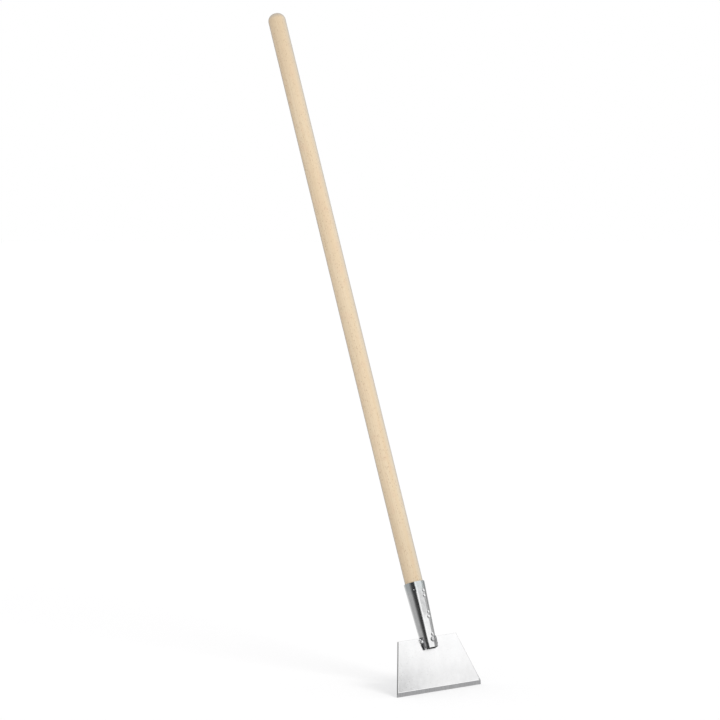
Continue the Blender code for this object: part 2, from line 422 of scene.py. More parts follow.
def plated_steel():
    """Zinc plating over rolled sheet: drawn lines, a dull patch, heat stains, cool at the mouth."""
    bright = (0.85, 0.855, 0.855, 1)
    hazy = (0.78, 0.785, 0.79, 1)
    dull_light = (0.68, 0.685, 0.685, 1)
    dull_dark = (0.55, 0.553, 0.56, 1)
    deep_grey = (0.20, 0.20, 0.205, 1)
    scored = (0.55, 0.555, 0.56, 1)
    cool = (0.60, 0.665, 0.670, 1)
    material, n = new_material("plated_steel")
    place = n.coordinates()
    x, y, height = n.parts(place)
    azimuth = n.math("ARCTAN2", x, n.math("MULTIPLY", y, -1.0))
    drawn = n.noise(n.stretched(place, (900, 900, 25)), detail=3)
    grit = n.noise(place, 420, detail=4, roughness=0.65)
    mottle = n.noise(n.stretched(place, (170, 170, 130)), detail=3, roughness=0.6)
    bloom = n.noise(n.stretched(place, (60, 60, 40)), detail=3)

    patch = dull_patch(n, azimuth, height, bloom)
    tone = n.mix(n.span(mottle, 0.35, 0.70), bright, hazy)
    tone = n.mix(patch, tone, n.mix(n.span(mottle, 0.36, 0.64), dull_light, dull_dark))
    tone = n.mix(heat_stain(n, azimuth, height, mottle), tone, deep_grey)
    tone = n.mix(n.span(grit, 0.50, 0.75, 0, 0.25), tone, scored)
    tone = n.mix(n.span(drawn, 0.55, 0.75, 0, 0.22), tone, scored)
    cool_from = CONE.mouth_z - 24 * MM
    cool_to = CONE.mouth_z - 4 * MM
    tone = n.mix(n.span(height, cool_from, cool_to, 0, 0.60, smooth=True), tone, cool)

    rough = n.math("ADD", n.math("MULTIPLY", patch, 0.06), n.span(bloom, 0.35, 0.70, 0.13, 0.20))
    relief = n.math("ADD", n.math("MULTIPLY", drawn, 0.5), grit)
    n.principled(tone, rough, 1.0, n.bump(relief, 0.014 * MM))
    return material


def dull_patch(n, azimuth, height, bloom):
    """Share of the dull patch at each place on the socket."""
    ragged = n.math("ADD", height, n.math("MULTIPLY", bloom, PATCH_RAGGED))
    above = n.span(ragged, PATCH_FOOT, PATCH_FOOT + PATCH_FOOT_FADE, smooth=True)
    left = n.span(azimuth, PATCH_LEFT, PATCH_LEFT + PATCH_SIDE_FADE, smooth=True)
    right = n.span(azimuth, PATCH_RIGHT, PATCH_RIGHT - PATCH_SIDE_FADE, smooth=True)
    return n.math("MULTIPLY", above, n.math("MULTIPLY", left, right))


def heat_stain(n, azimuth, height, mottle):
    """Share of the heat stains' dark tone at each place on the socket."""
    ragged = n.math("ADD", height, n.span(mottle, 0.3, 0.7, -STAIN_RAGGED, STAIN_RAGGED))
    from_seam = n.math("ABSOLUTE", n.math("SUBTRACT", azimuth, SEAM_AZIMUTH))
    near = SEAM_STAIN_REACH / 4
    beside = n.span(from_seam, SEAM_STAIN_REACH, near, 0, SEAM_STAIN, smooth=True)
    lower = n.span(ragged, SEAM_STAIN_TOP, SEAM_STAIN_TOP - SEAM_STAIN_FADE, smooth=True)
    rightward = n.span(azimuth, SEAM_AZIMUTH - WELD_STAIN_REACH, SEAM_AZIMUTH, 0, WELD_STAIN)
    lowest = n.span(ragged, WELD_STAIN_TOP, WELD_STAIN_TOP - WELD_STAIN_FADE, smooth=True)
    by_seam = n.math("MULTIPLY", beside, lower)
    by_weld = n.math("MULTIPLY", rightward, lowest)
    return n.math("MAXIMUM", by_seam, by_weld)


def bare_inside():
    """Dark unplated steel inside the tube, dull with mill scale."""
    dark = (0.13, 0.13, 0.13, 1)
    brownish = (0.22, 0.215, 0.21, 1)
    material, n = new_material("bare_inside")
    scale = n.noise(n.coordinates(), 500, detail=4, roughness=0.6)
    tone = n.mix(n.span(scale, 0.35, 0.7), dark, brownish)
    n.principled(tone, n.span(scale, 0.3, 0.7, 0.55, 0.75), 1.0, n.bump(scale, 0.04 * MM))
    return material


def plate_steel():
    """Satin zinc plating on flat plate: cloudy and speckled, darker towards the edge and the left,
    with painted highlights and painted shade at its rims and under the socket's foot.
    """
    satin = (0.970, 0.970, 0.973, 1)
    satin_dim = (0.940, 0.940, 0.943, 1)
    blotch = (0.83, 0.83, 0.835, 1)
    grain = (0.78, 0.78, 0.785, 1)
    material, n = new_material("plate_steel")
    place = n.coordinates()
    x, _, z = n.parts(place)
    cloud = n.noise(n.stretched(place, (28, 28, 34)), detail=4, roughness=0.6)
    patches = n.noise(n.stretched(place, (110, 110, 120)), detail=4, roughness=0.65)
    grit = n.noise(place, 700, detail=3, roughness=0.7)
    lines = n.noise(n.stretched(place, (18, 18, 1400)), detail=2)

    tone = n.mix(n.span(cloud, 0.3, 0.72), satin, satin_dim)
    tone = n.mix(n.span(patches, 0.35, 0.72, 0, 0.16), tone, blotch)
    tone = n.mix(n.span(grit, 0.5, 0.8, 0, 0.22), tone, grain)
    tone = darker_low_and_left(n, tone, place, patches)
    # Painted edge highlights and painted rim shade, and the dark shorn ends
    tone = plate_outline(n, tone, z)
    # Painted shade inside and just below the socket's foot
    tone = painted_foot_shade(n, tone, x, z)

    rough = n.span(cloud, 0.3, 0.7, 0.30, 0.40)
    relief = n.math("ADD", grit, n.math("MULTIPLY", lines, 0.5))
    n.principled(tone, rough, 1.0, n.bump(relief, 0.012 * MM))
    return material


def darker_low_and_left(n, tone, place, patches):
    """Darkens the plate low down and on its left, where it has more specks too."""
    x, _, z = n.parts(place)
    low = n.span(z, 76 * MM, 20 * MM, 0, 0.11, smooth=True)
    leftward = n.math("POWER", n.span(x, 20 * MM, -92 * MM), 1.5)
    left = n.math("MULTIPLY", leftward, n.span(z, 112 * MM, 14 * MM, 0, 0.25))
    worn = n.math("MULTIPLY", n.math("ADD", low, left), n.span(patches, 0.3, 0.7, 0.88, 1.12))
    tone = n.mix(worn, tone, BLACK)

    cell = n.cells(n.stretched(place, (420, 420, 420)))
    rare = n.parts(cell["Color"])[0]
    speck = n.math("MULTIPLY", n.span(cell["Distance"], 0.38, 0.15), n.span(rare, 0.80, 0.92))
    return n.mix(n.math("MULTIPLY", speck, n.span(left, 0.0, 0.2, 0.10, 0.40)), tone, BLACK)


def plate_outline(n, tone, z):
    """Painted highlights along the plate's left edge and the bevel's top, painted shade along its
    right edge, lower right corner and top, and the dark shorn ends of the plate.
    """
    glint_tone = (0.99, 0.99, 0.99, 1)
    shorn = (0.16, 0.16, 0.165, 1)
    # Painted highlights along the left edge and the bevel's top
    tone = n.mix(n.span(n.attribute("edge_glint"), 0.0, 0.6, 0, 0.9), tone, glint_tone)
    # Painted shade along the right edge, the lower right corner and the top rim, stronger low down
    rim = n.span(n.attribute("rim"), 0.0, 0.8)
    strength = n.span(z, 34 * MM, 8 * MM, 0.28, 0.54)
    tone = n.mix(n.math("MULTIPLY", rim, strength), tone, BLACK)

    across = n.parts(n.normal())[0]
    at_end = n.span(n.math("ABSOLUTE", across), 0.6, 0.85)
    return n.mix(n.math("MULTIPLY", at_end, n.span(z, 0.0, 95 * MM, 0.63, 0.42)), tone, shorn)


def painted_foot_shade(n, tone, x, z):
    """Paints shade on the plate inside the socket and in a line just below the socket's foot."""
    dark = (0.12, 0.12, 0.12, 1)
    inner = CONE.foot_radius - CONE.wall
    above = n.span(z, CONE.foot_z - 2.1 * MM, CONE.foot_z - 0.9 * MM)
    within = n.span(n.math("ABSOLUTE", x), inner + 0.3 * MM, inner - 0.5 * MM)
    return n.mix(n.math("MULTIPLY", above, within), tone, dark)


def ground_steel():
    """Bare ground steel: fine wheel marks across the bevel."""
    light = (0.62, 0.62, 0.63, 1)
    dark = (0.42, 0.42, 0.43, 1)
    smudge = (0.48, 0.48, 0.49, 1)
    material, n = new_material("ground_steel")
    place = n.coordinates()
    marks = n.noise(n.stretched(place, (2200, 40, 40), (0, math.radians(12), 0)), detail=3)
    cloud = n.noise(place, 120, detail=3)
    tone = n.mix(n.span(marks, 0.35, 0.68), light, dark)
    tone = n.mix(n.span(cloud, 0.4, 0.7, 0, 0.4), tone, smudge)
    n.principled(tone, n.span(marks, 0.3, 0.7, 0.34, 0.46), 1.0, n.bump(marks, 0.02 * MM))
    return material


def weld_metal():
    """Weld bead: bright clean lumps; elsewhere painted shade in dark grey, darker off the tube and
    darkest at the toe.
    """
    material, n = new_material("weld_metal")
    place = n.coordinates()
    scale = n.noise(place, 700, detail=4, roughness=0.65)
    crust = n.noise(place, 380, detail=3, roughness=0.6)

    grey = n.mix(n.span(crust, 0.40, 0.66), (0.24, 0.24, 0.245, 1), (0.46, 0.46, 0.465, 1))
    dark = n.mix(n.span(crust, 0.45, 0.62), (0.075, 0.075, 0.08, 1), (0.24, 0.24, 0.245, 1))
    bright = n.mix(n.span(scale, 0.35, 0.7), (0.90, 0.90, 0.905, 1), (0.72, 0.725, 0.73, 1))
    toe_shade = (0.09, 0.09, 0.095, 1)
    # Painted shade: dark greys that stand in for the bead's dark reflections, darker off the tube
    deep_grey = n.mix(n.span(n.attribute("off_tube"), 1.2, 2.6, smooth=True), grey, dark)
    tone = n.mix(n.span(n.attribute("clean"), 0.30, 0.65, smooth=True), deep_grey, bright)
    # Painted shade in the crease at the bead's toe
    tone = n.mix(n.span(n.attribute("toe"), 0.0, 0.7, 0.85, 0, smooth=True), tone, toe_shade)
    rough = n.span(scale, 0.3, 0.7, 0.15, 0.26)
    n.principled(tone, rough, 1.0, n.bump(scale, 0.05 * MM))
    return material


def nail_steel():
    """A bright drawn-wire nail with a hammered head."""
    material, n = new_material("nail_steel")
    place = n.coordinates()
    dents = n.noise(place, 900, detail=3)
    tone = n.mix(n.span(dents, 0.4, 0.65), (0.80, 0.80, 0.81, 1), (0.60, 0.60, 0.61, 1))
    n.principled(tone, 0.20, 1.0, n.bump(dents, 0.05 * MM))
    return material


def floor_white():
    """A white floor: part lit, part glowing, and seen only from above."""
    material, n = new_material("floor_white")
    lit = n.add("ShaderNodeBsdfDiffuse", {"Color": FLOOR_TONE}).outputs[0]
    glow = n.add("ShaderNodeEmission", {"Color": (1, 1, 1, 1), "Strength": FLOOR_GLOW}).outputs[0]
    front = n.add("ShaderNodeAddShader", {0: lit, 1: glow}).outputs[0]
    clear = n.add("ShaderNodeBsdfTransparent", {}).outputs[0]
    back = n.add("ShaderNodeNewGeometry", {}).outputs["Backfacing"]
    n.surface(n.add("ShaderNodeMixShader", {0: back, 1: front, 2: clear}).outputs[0])
    return material


# Meshes


def ring_faces(rings, steps):
    """Quads between stacked rings of points."""
    faces = []
    for ring in range(rings - 1):
        low, high = ring * steps, (ring + 1) * steps
        for i in range(steps):
            beside = (i + 1) % steps
            faces.append((low + i, low + beside, high + beside, high + i))
    return faces


def add_mesh(name, points, faces):
    """A mesh object whose faces all point outwards."""
    mesh = bpy.data.meshes.new(name)
    mesh.from_pydata([tuple(p) for p in points], [], faces)
    bm = bmesh.new()
    bm.from_mesh(mesh)
    bmesh.ops.recalc_face_normals(bm, faces=bm.faces)
    bm.to_mesh(mesh)
    bm.free()
    return add_object(name, mesh)


def add_object(name, data):
    thing = bpy.data.objects.new(name, data)
    bpy.context.scene.collection.objects.link(thing)
    return thing


def stand_for(piece, node):
    """Shows a piece in place of a CAD node, on its body."""
    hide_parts(node)
    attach(piece, "root")


def add_piece(name, points, faces, node, materials):
    """A shaded mesh that stands for a CAD node."""
    piece = add_mesh(name, points, faces)
    for material in materials:
        piece.data.materials.append(material)
    smooth(piece, 30)
    stand_for(piece, node)
    return piece


def smooth(piece, sharp):
    """Shades a piece smooth, apart from edges that turn by more than some degrees."""
    piece.data.shade_smooth()
    piece.data.set_sharp_from_angle(angle=math.radians(sharp))


def bake_modifiers(piece):
    """Replaces the mesh with its evaluated form."""
    depsgraph = bpy.context.evaluated_depsgraph_get()
    baked = bpy.data.meshes.new_from_object(piece.evaluated_get(depsgraph))
    piece.modifiers.clear()
    piece.data = baked


def round_edges(piece, width, limit_method, angle=0):
    """Rounds the edges that the method picks: weighted ones, or those that turn enough."""
    modifier = piece.modifiers.new("rounding", "BEVEL")
    modifier.limit_method = limit_method
    if limit_method == "ANGLE":
        modifier.angle_limit = angle
    modifier.width = width
    modifier.segments = 3
    bake_modifiers(piece)


def store(mesh, marks):
    """Stores named lists of one value a point, for the materials to read."""
    for name, values in marks.items():
        mesh.attributes.new(name, "FLOAT", "POINT").data.foreach_set("value", values)


def turned(profile, steps, wander):
    """Points and faces of (radius, height) points turned about Z, shut at both poles."""
    points = []
    for radius, z in profile:
        for i in range(steps):
            angle = 2 * math.pi * i / steps
            reach = radius + wander(angle, z)
            points.append((reach * math.cos(angle), reach * math.sin(angle), z))
    faces = ring_faces(len(profile), steps)
    for row, z in ((0, profile[0][1]), (len(profile) - 1, profile[-1][1])):
        pole = len(points)
        points.append((0, 0, z))
        start = row * steps
        faces += [(start + i, start + (i + 1) % steps, pole) for i in range(steps)]
    return points, faces


def drill(piece, tool):
    """Cuts a drilled hole, then keeps the result."""
    modifier = piece.modifiers.new("hole", "BOOLEAN")
    modifier.operation = "DIFFERENCE"
    modifier.solver = "EXACT"
    modifier.object = tool
    bake_modifiers(piece)


# Pieces


def between(start, end, gap):
    """Profile points from one up to, but not including, another."""
    count = math.ceil((end[1] - start[1]) / gap)
    return [tuple(s + (e - s) * i / count for s, e in zip(start, end)) for i in range(count)]


def make_handle(wood, hole):
    """The shaft: a cone inside the socket, a long stem that wanders a little, a domed end."""
    ring_gap = 3 * MM
    steps_round = 96
    dome_steps = 22
    dome_fullness = 0.96
    dome_drop = 0.4 * MM
    end_radius = 1.2 * MM
    stray = 0.09 * MM
    solid = cad_points("handle")
    reach = radii(solid)
    radius = reach.max()
    foot_z, top_z = solid[:, 2].min(), solid[:, 2].max()
    foot_radius = reach[solid[:, 2] < foot_z + CLEARANCE].max()
    widest = solid[reach > radius - CLEARANCE / 10][:, 2]
    shoulder_z, dome_z = widest.min(), widest.max()

    profile = [(foot_radius - end_radius, foot_z)]
    profile += between((foot_radius, foot_z + end_radius), (radius, shoulder_z), ring_gap)
    profile += between((radius, shoulder_z), (radius, dome_z), ring_gap)
    for i in range(dome_steps):
        turn = math.pi / 2 * i / dome_steps
        rise = (top_z - dome_drop - dome_z) * math.sin(turn) ** dome_fullness
        profile.append((radius * math.cos(turn) ** dome_fullness, dome_z + rise))

    def wander(angle, z):
        if z < shoulder_z or z > top_z - MM:
            return 0
        place = Vector((math.cos(angle), math.sin(angle), z * 14))
        facet = Vector((math.cos(angle) * 4, math.sin(angle) * 4, z * 40))
        return stray * (noise.noise(place) - 1) + stray / 3 * noise.noise(facet)

    points, faces = turned(profile, steps_round, wander)
    piece = add_piece("beech_handle", points, faces, "handle", [wood])
    drill(piece, hole)


def sheet_faces(rows, columns, kept):
    """Faces of a closed sheet: an outer grid, the same grid inside, strips round its borders."""
    count = rows * columns
    outer = []
    for row in range(rows - 1):
        for column in range(columns - 1):
            if kept(row, column):
                low, high = row * columns, (row + 1) * columns
                outer.append((low + column, low + column + 1, high + column + 1, high + column))
    sides = {(face[i], face[(i + 1) % 4]) for face in outer for i in range(4)}
    border = sorted((a, b) for a, b in sides if (b, a) not in sides)
    inner = [tuple(i + count for i in reversed(face)) for face in outer]
    strips = [(b, a, a + count, b + count) for a, b in border]
    return outer + inner + strips


def steps_up(low, high, gap):
    """Even heights from one up to, but not including, another."""
    count = round((high - low) / gap)
    return [low + (high - low) * i / count for i in range(count)]


def column_azimuths(z, slit_half):
    """Azimuths of the socket grid's columns at a height: they follow the seam and the slits."""
    radius = CONE.radius(z)
    half = math.asin(slit_half / radius)
    gap = SEAM_HALF / radius
    quarter = math.pi / 2
    stops = (
        (SEAM_AZIMUTH + gap, 0),
        (quarter - half, FRONT_COLUMNS),
        (quarter + half, SLIT_COLUMNS),
        (3 * quarter - half, REAR_COLUMNS),
        (3 * quarter + half, SLIT_COLUMNS),
        (SEAM_AZIMUTH + 2 * math.pi - gap, LAST_COLUMNS),
    )
    places = [stops[0][0]]
    for (start, _), (end, count) in zip(stops, stops[1:]):
        places += [start + (end - start) * (i + 1) / count for i in range(count)]
    return places


def sheet_shift(azimuth, z, nail_azimuth, nail_z):
    """How far the sheet lies off the cone: a faint wave, a dish round the nail, drawn-in lips."""
    wave_depth = 0.07 * MM
    wave_inward = 0.4
    dish_depth = 0.35 * MM
    dish_radius = 8 * MM
    lip_depth = 0.12 * MM
    lip_width = 1.2 * MM
    radius = CONE.radius(z)
    place = Vector((math.cos(azimuth) * 2, math.sin(azimuth) * 2, z * 45))
    wave = wave_depth * (noise.noise(place) - wave_inward)
    aside = (azimuth - nail_azimuth + math.pi) % (2 * math.pi) - math.pi
    away = math.hypot(aside * radius, z - nail_z) / dish_radius
    dish = dish_depth * math.exp(-away * away)
    from_seam = min(azimuth - SEAM_AZIMUTH, SEAM_AZIMUTH + 2 * math.pi - azimuth) * radius
    lip = lip_depth * math.exp(-((from_seam / lip_width) ** 2))
    return wave - dish - lip


def make_socket(steel, inside_steel, hole):
    """The rolled tube: an open seam, a slit on each side for the blade, a dish round the nail."""
    row_gap = 1.6 * MM
    edge_radius = 0.4 * MM
    blade_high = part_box("blade")[1]
    slit_top = blade_high.z + CLEARANCE
    slit_half = blade_high.y + CLEARANCE
    nail = cad_points("fixing_nail")
    nail_azimuth = azimuth_of(nail.mean(axis=0))
    nail_z = nail[radii(nail).argmax()][2]
    levels = steps_up(CONE.foot_z, slit_top, row_gap)
    slit_rows = len(levels)
    levels += steps_up(slit_top, CONE.mouth_z, row_gap) + [CONE.mouth_z]

    outside, inside = [], []
    for z in levels:
        for azimuth in column_azimuths(z, slit_half):
            lift = sheet_shift(azimuth, z, nail_azimuth, nail_z)
            outside.append(CONE.point(azimuth, z, lift))
            inside.append(CONE.point(azimuth, z, lift - CONE.wall))
    columns = len(outside) // len(levels)
    rear = FRONT_COLUMNS + SLIT_COLUMNS
    right_slit = range(FRONT_COLUMNS, rear)
    left_slit = range(rear + REAR_COLUMNS, rear + REAR_COLUMNS + SLIT_COLUMNS)

    def kept(row, column):
        return row >= slit_rows or (column not in right_slit and column not in left_slit)

    faces = sheet_faces(len(levels), columns, kept)
    materials = [steel, inside_steel]
    piece = add_piece(
        "rolled_socket", outside + inside, faces, "socket", materials
    )
    drop_loose(piece)
    drill(piece, hole)
    round_edges(piece, edge_radius, "ANGLE", math.radians(50))
    for face in piece.data.polygons:
        outward = direction(azimuth_of(face.center)).dot(face.normal)
        at_foot = face.center.z < CONE.foot_z + MM and face.normal.z < -0.5
        face.material_index = 1 if outward < -0.8 or at_foot else 0
    smooth(piece, 40)


def drop_loose(piece):
    """Deletes points that no face uses."""
    bm = bmesh.new()
    bm.from_mesh(piece.data)
    bmesh.ops.delete(bm, geom=[v for v in bm.verts if not v.link_faces], context="VERTS")
    bm.to_mesh(piece.data)
    bm.free()


def blade_grid(bevel_top, top_z, top_half, rim_width):
    """Heights of the blade grid's rows, and its columns as shares of the half width."""
    bevel_rows = 6
    face_rows = 44
    even_columns = 101
    levels = [bevel_top * i / bevel_rows for i in range(bevel_rows)]
    levels += [bevel_top, bevel_top + rim_width]
    levels += [bevel_top + (top_z - bevel_top) * i / face_rows for i in range(1, face_rows)]
    levels += [top_z - rim_width, top_z]
    shares = [2 * i / (even_columns - 1) - 1 for i in range(even_columns)]
    rim = rim_width / top_half
    return levels, [-1, rim - 1, *shares[1:-1], 1 - rim, 1]


def make_blade(plate, ground):
    """The plate, shorn a little out of square: rounded edges, a ground bevel, a nicked edge and a
    worn lower right corner."""
    wave_depth = 0.10 * MM
    nick_depth = 0.12 * MM
    left_drop = 1.3 * MM
    right_draw = 2.0 * MM
    rim_width = 1.3 * MM
    corner_wear = 1.2 * MM
    corner_sharpness = 50
    rear_wear = 0.4
    corner_from = 0.965
    corner_height = 2.2 * MM
    top_rim = 0.35
    low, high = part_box("blade")
    solid = cad_points("blade")
    bevel_top = solid[solid[:, 1] < low.y + CLEARANCE][:, 2].min()
    land_y = solid[solid[:, 2] < low.z + CLEARANCE][:, 1].min()
    top_half = solid[solid[:, 2] > high.z - CLEARANCE][:, 0].max()
    levels, shares = blade_grid(bevel_top, high.z, top_half, rim_width)

    def wave(x, z):
        return wave_depth * noise.noise(Vector((x * 22, 0, z * 22)))

    def nick(x):
        return nick_depth * max(0, noise.noise(Vector((x * 260, 7, 0))))

    front, rear, rim, edge_glint = [], [], [], []
    for z in levels:
        rise = z / high.z
        share = min(z / bevel_top, 1)
        half_width = high.x + (top_half - high.x) * rise
        front_y = land_y + (low.y - land_y) * share
        for side in shares:
            x = half_width * side - right_draw * rise * (1 + side) / 2
            lift = nick(x) if z == 0 else -left_drop * rise * (1 - side) / 2
            bow = wave(x, z) * share
            worn = corner_wear * (1 - share) ** 2 * max(side, 0) ** corner_sharpness
            front.append((x - worn, front_y + bow, z + lift + worn / 2))
            worn *= rear_wear
            rear.append((x - worn, high.y + bow, z + lift + worn / 2))
            # Where plate_outline paints shade: the right edge, the lower right corner and a little
            # along the top
            at_corner = z <= bevel_top + corner_height and side > corner_from
            at_top = top_rim if z == high.z else 0.0
            rim.append(1.0 if side == 1 or at_corner else at_top)
            # Where plate_outline paints highlights: the bevel's top and the left edge, on the front
            # face only
            edge_glint.append(1.0 if z == bevel_top or side == -1 else 0.0)
    faces = sheet_faces(len(levels), len(shares), lambda row, column: True)
    piece = add_piece(
        "scraper_blade", front + rear, faces, "blade", [plate, ground]
    )
    store(piece.data, {"rim": rim + rim, "edge_glint": edge_glint + [0.0] * len(edge_glint)})
    for face in piece.data.polygons:
        is_ground = face.center.z < bevel_top and face.normal.y < -0.3 and face.normal.z < -0.2
        face.material_index = 1 if is_ground or face.center.z < 0.2 * MM else 0
    weigh_outline(piece.data, low.z + CLEARANCE)
    round_edges(piece, 0.3 * MM, "WEIGHT")
    smooth(piece, 20)


def weigh_outline(mesh, edge_z):
    """Marks the plate's outline for rounding, apart from the cutting edge."""
    bm = bmesh.new()
    bm.from_mesh(mesh)
    weight = bm.edges.layers.float.new("bevel_weight_edge")
    for edge in bm.edges:
        at_edge = all(v.co.z < edge_z for v in edge.verts)
        square = edge.calc_face_angle(0) > math.radians(60)
        edge[weight] = 1.0 if square and not at_edge else 0.0
    bm.to_mesh(mesh)
    bm.free()


def puddle(bm, centre, out, along, sizes):
    """One ball of weld metal, sized along the bead, across it and outwards."""
    across = out.cross(along).normalized()
    along = across.cross(out).normalized()
    turn = Matrix((along, across, out)).transposed().to_4x4()
    matrix = Matrix.Translation(centre) @ turn @ Matrix.Diagonal((*sizes, 1))
    bmesh.ops.create_icosphere(bm, subdivisions=3, radius=1, matrix=matrix)


def make_weld(name, node, puddles, metal):
    """Melts overlapping puddles, each with how clean its metal is, into one bead."""
    voxel = 0.28 * MM
    roughness = 0.10 * MM
    bm = bmesh.new()
    for _, *shape in puddles:
        puddle(bm, *shape)
    mesh = bpy.data.meshes.new(name)
    bm.to_mesh(mesh)
    bm.free()
    mesh.materials.append(metal)
    piece = add_object(name, mesh)
    remesh = piece.modifiers.new("melt", "REMESH")
    remesh.mode = "VOXEL"
    remesh.voxel_size = voxel
    relax = piece.modifiers.new("relax", "SMOOTH")
    relax.factor = 0.5
    relax.iterations = 3
    bake_modifiers(piece)
    roughen(piece.data, roughness)
    piece.data.shade_smooth()
    mark_weld(piece.data, puddles)
    stand_for(piece, node)


def roughen(mesh, depth):
    """Moves each point a little along its normal."""
    moves = [v.normal * depth * noise.noise(v.co * 700) for v in mesh.vertices]
    for vertex, move in zip(mesh.vertices, moves):
        vertex.co += move


def clean_share(point, clean, centre, sizes):
    """How clean a puddle leaves the metal at a point: all of it near by, nothing further off."""
    size = sum(sizes) / len(sizes)
    away = (point - centre).length / size
    return clean * min(max(3 - 2 * away, 0), 1)


def mark_weld(mesh, puddles):
    """Stores three values at each point: its height over the nearest steel and its height over the
    tube, both in millimetres, and how clean its metal is."""
    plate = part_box("blade")[1]
    balls = [(clean, centre, sizes) for clean, centre, _, _, sizes in puddles]
    marks = {"toe": [], "off_tube": [], "clean": []}
    for vertex in mesh.vertices:
        co = vertex.co
        over_tube = math.hypot(co.x, co.y) - CONE.radius(co.z)
        over_plate = abs(co.y) - plate.y if co.z < plate.z else over_tube
        marks["toe"].append(max(0, min(over_tube, over_plate)) / MM)
        marks["off_tube"].append(max(0, over_tube) / MM)
        marks["clean"].append(max(clean_share(co, *ball) for ball in balls))
    store(mesh, marks)


def make_seam_tack(name, node, lobes, metal):
    """A tack over the seam: round lobes on a slant and a low bridge between them."""
    lobe_lift = 0.1 * MM
    bridge_sink = 0.2 * MM
    bridge_rise = 0.9 * MM
    bridge_length = 0.60
    bridge_width = 0.22
    bridge_clean = 0.8
    low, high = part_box(node)
    centre = (low + high) / 2
    azimuth = azimuth_of(centre)
    half = (high.z - low.z) / 2
    up = Vector((0, 0, 1))
    puddles = []
    for along, aside, length, width, rise, clean in lobes:
        turn = azimuth + aside * half / CONE.radius(centre.z)
        place = CONE.point(turn, centre.z + along * half, lobe_lift)
        sizes = (length * half, width * half, rise)
        puddles.append((clean, place, CONE.normal(turn), up, sizes))
    bridge = CONE.point(azimuth, centre.z, -bridge_sink)
    sizes = (bridge_length * half, bridge_width * half, bridge_rise)
    puddles.append((bridge_clean, bridge, CONE.normal(azimuth), up, sizes))
    make_weld(name, node, puddles, metal)


def make_fillet(name, node, metal, seed, lumpy):
    """A hand-laid bead in the corner between the tube's foot and the plate, in painted dark grey
    shade. A lumpy one has clean lumps at its start, on the plate's top edge, and at its end, under
    the foot."""
    end = 2.0 * MM
    step = 2.6 * MM
    ripple = 2.2 * MM
    foot_taper = 0.20
    plate_share = 0.32
    tube_share = 0.30
    flatness = 0.50
    stray = 0.05
    uneven = 0.12
    most_lean = 0.25
    pick = random.Random(seed)
    points = cad_points(node)
    low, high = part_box(node)
    plate_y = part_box("blade")[1].y
    side_x = math.copysign(1, low.x + high.x)
    side_y = math.copysign(1, low.y + high.y)
    up = Vector((0, 0, 1))

    def legs(z):
        """The corner's x at a height, and the bead's reach from it along the plate and the tube."""
        near = points[abs(points[:, 2] - z) < step]
        corner_x = math.sqrt(CONE.radius(z) ** 2 - plate_y**2)
        drop = (high.z - z) / (high.z - low.z)
        leg_x = ((near[:, 0] * side_x).max() - corner_x) * (1 - foot_taper * drop)
        leg_y = (near[:, 1] * side_y).max() - plate_y
        return corner_x, leg_x, leg_y

    def lump(z, along_plate, along_tube, clean, sizes):
        """A ball at shares of the bead's two legs."""
        corner_x, leg_x, leg_y = legs(z)
        x = side_x * (corner_x + along_plate * leg_x)
        y = side_y * (plate_y + along_tube * leg_y)
        out = Vector((side_x * leg_y, side_y * leg_x, 0)).normalized()
        lean = (up + out * pick.uniform(-most_lean, most_lean)).normalized()
        return (clean, Vector((x, y, z)), out, lean, sizes)

    ends = {"top": high.z - end, "foot": low.z + end}
    length = ends["top"] - ends["foot"]
    count = round(length / step) + 1
    puddles = []
    for i in range(count):
        z = ends["foot"] + length * i / (count - 1)
        _, leg_x, leg_y = legs(z)
        size = 1 + pick.uniform(-uneven, uneven)
        half = math.hypot(leg_x, leg_y) / 2 * size
        sizes = (ripple * size, half, flatness * half)
        along_plate = plate_share + pick.uniform(-stray, stray)
        puddles.append(lump(z, along_plate, tube_share, 0, sizes))
    if lumpy:
        for place, drop, *shape in FILLET_LUMPS:
            puddles.append(lump(ends[place] - drop, *shape))
    make_weld(name, node, puddles, metal)


def nail_frame():
    """The nail's place: a frame whose Z points out along the shank, on the tube's surface."""
    points = cad_points("fixing_nail")
    tip = points[radii(points).argmin()]
    head = points[radii(points) > CONE.radius(tip[2])].mean(axis=0)
    out = Vector(head - tip).normalized()
    turn = out.to_track_quat("Z", "Y").to_matrix().to_4x4()
    return Matrix.Translation(Vector(head)) @ turn


def nail_sizes(matrix):
    """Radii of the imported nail's shank and head, and where its seat, top and tip are along it."""
    points = [matrix.inverted() @ Vector(p) for p in cad_points("fixing_nail")]
    reach = [math.hypot(p.x, p.y) for p in points]
    head = max(reach)
    seat = min(p.z for p, r in zip(points, reach) if r > head - CLEARANCE / 10)
    shank = max(r for p, r in zip(points, reach) if p.z < seat - CLEARANCE)
    top = max(p.z for p in points)
    tip = min(p.z for p in points)
    return shank, head, seat, top, tip


